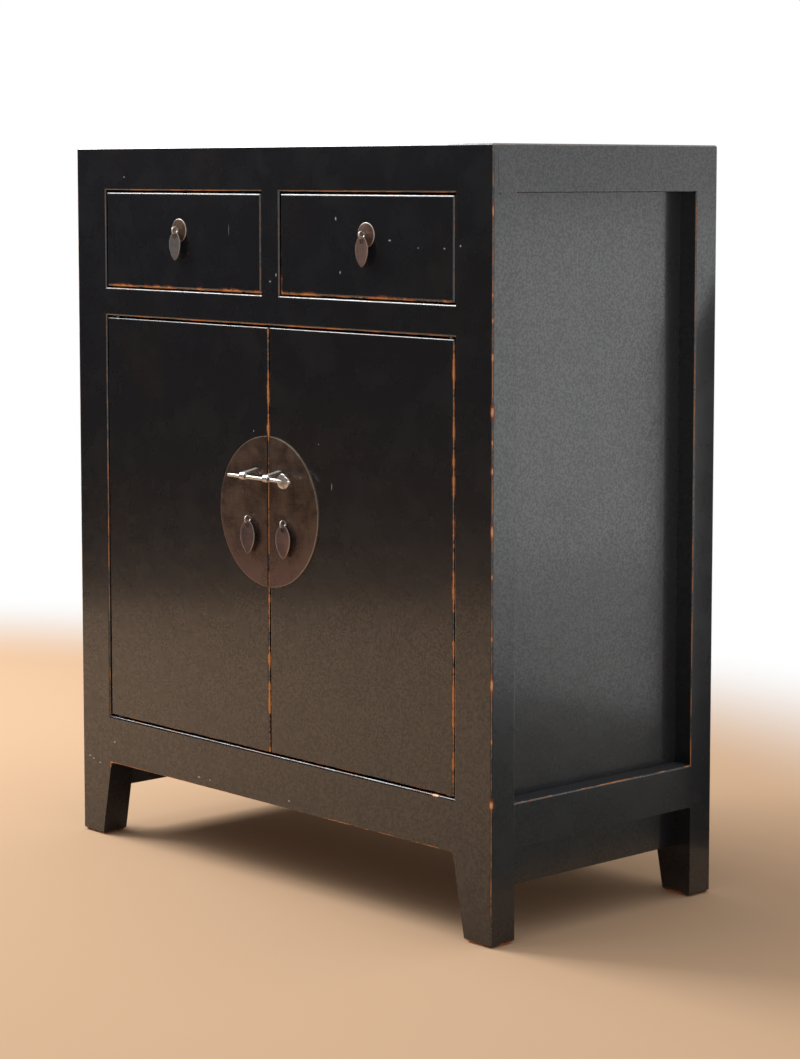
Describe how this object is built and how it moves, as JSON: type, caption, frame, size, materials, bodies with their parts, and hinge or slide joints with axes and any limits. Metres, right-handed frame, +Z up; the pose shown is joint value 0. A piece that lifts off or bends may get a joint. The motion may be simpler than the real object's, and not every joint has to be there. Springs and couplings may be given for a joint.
{
  "type": "kang cabinet",
  "caption": "Low black-lacquered kang cabinet with two drawers over a pair of plank doors, a round face plate with a sliding lock pin, and leaf pulls.",
  "frame": {"origin": "centre of the cabinet's outline at floor level, the metalwork that stands in front of the doors included", "axes": "+X to the right as seen from the front, +Y towards the back, +Z up; the front faces -Y"},
  "size_m": [0.775, 0.3952, 0.9],
  "materials": {
    "black_lacquer": "satin-gloss black lacquer over red-brown and orange wood, worn through along the edges",
    "raw_wood": "unlacquered inner boards, dry brown wood",
    "bronze_patina": "dark brown patinated sheet with a worn bright rim",
    "copper_patina": "copper-brown patinated sheet",
    "leaf_patina": "grey-brown patinated leaves",
    "worn_steel": "bare steel, dull and handled"
  },
  "bodies": {
    "carcass": {"back_panel": "raw_wood", "bottom_board": "raw_wood", "bottom_rail_back": "black_lacquer", "bottom_rail_front": "black_lacquer", "bottom_rail_left": "black_lacquer", "bottom_rail_right": "black_lacquer", "deck_bearer_left": "raw_wood", "deck_bearer_right": "raw_wood", "drawer_deck": "raw_wood", "drawer_divider": "black_lacquer", "drawer_guide_centre": "raw_wood", "drawer_guide_left": "raw_wood", "drawer_guide_right": "raw_wood", "lower_board_left": "black_lacquer", "lower_board_right": "black_lacquer", "mid_rail_back": "raw_wood", "mid_rail_front": "black_lacquer", "post_back_left": "black_lacquer", "post_back_right": "black_lacquer", "post_front_left": "black_lacquer", "post_front_right": "black_lacquer", "shelf": "raw_wood", "shelf_bearer_left": "raw_wood", "shelf_bearer_right": "raw_wood", "side_panel_left": "black_lacquer", "side_panel_right": "black_lacquer", "top_panel": "black_lacquer", "top_rail_back": "black_lacquer", "top_rail_front": "black_lacquer", "top_rail_left": "black_lacquer", "top_rail_right": "black_lacquer"},
    "drawer_left": {"drawer_left_back": "raw_wood", "drawer_left_backplate": "copper_patina", "drawer_left_bottom": "raw_wood", "drawer_left_front": "black_lacquer", "drawer_left_ring": "worn_steel", "drawer_left_side_left": "raw_wood", "drawer_left_side_right": "raw_wood"},
    "drawer_right": {"drawer_right_back": "raw_wood", "drawer_right_backplate": "copper_patina", "drawer_right_bottom": "raw_wood", "drawer_right_front": "black_lacquer", "drawer_right_ring": "worn_steel", "drawer_right_side_left": "raw_wood", "drawer_right_side_right": "raw_wood"},
    "door_left": {"door_left_battens": "raw_wood", "door_left_panel": "black_lacquer", "door_left_plate": "bronze_patina", "door_left_ring": "worn_steel", "door_left_staple": "worn_steel"},
    "door_right": {"door_right_battens": "raw_wood", "door_right_panel": "black_lacquer", "door_right_plate": "bronze_patina", "door_right_ring": "worn_steel", "door_right_staple": "worn_steel"},
    "lock_pin": {"lock_pin": "worn_steel"},
    "drawer_left_pull": {"drawer_left_leaf": "leaf_patina"},
    "drawer_right_pull": {"drawer_right_leaf": "leaf_patina"},
    "door_left_pull": {"door_left_leaf": "leaf_patina"},
    "door_right_pull": {"door_right_leaf": "leaf_patina"}
  },
  "joints": [
    {"name": "drawer_left_slide", "type": "slide", "parent": "carcass", "child": "drawer_left", "axis": [0, -1, 0], "range_m": [0, 0.25]},
    {"name": "drawer_right_slide", "type": "slide", "parent": "carcass", "child": "drawer_right", "axis": [0, -1, 0], "range_m": [0, 0.25]},
    {"name": "door_left_swing", "type": "hinge", "parent": "carcass", "child": "door_left", "pos_m": [-0.3125, -0.1634, 0.1635], "axis": [0, 0, -1], "range_deg": [0, 105]},
    {"name": "door_right_swing", "type": "hinge", "parent": "carcass", "child": "door_right", "pos_m": [0.3125, -0.1634, 0.1635], "axis": [0, 0, 1], "range_deg": [0, 105]},
    {"name": "lock_pin_slide", "type": "slide", "parent": "door_right", "child": "lock_pin", "axis": [1, 0, 0], "range_m": [0, 0.058]},
    {"name": "drawer_left_pull_swing", "type": "hinge", "parent": "drawer_left", "child": "drawer_left_pull", "pos_m": [-0.17325, -0.17845, 0.7965], "axis": [-1, 0, 0], "range_deg": [-5, 170]},
    {"name": "drawer_right_pull_swing", "type": "hinge", "parent": "drawer_right", "child": "drawer_right_pull", "pos_m": [0.17725, -0.17845, 0.7965], "axis": [-1, 0, 0], "range_deg": [-5, 170]},
    {"name": "door_left_pull_swing", "type": "hinge", "parent": "door_left", "child": "door_left_pull", "pos_m": [-0.0335, -0.17815, 0.448], "axis": [-1, 0, 0], "range_deg": [-5, 170]},
    {"name": "door_right_pull_swing", "type": "hinge", "parent": "door_right", "child": "door_right_pull", "pos_m": [0.0335, -0.17815, 0.448], "axis": [-1, 0, 0], "range_deg": [-5, 170]}
  ]
}
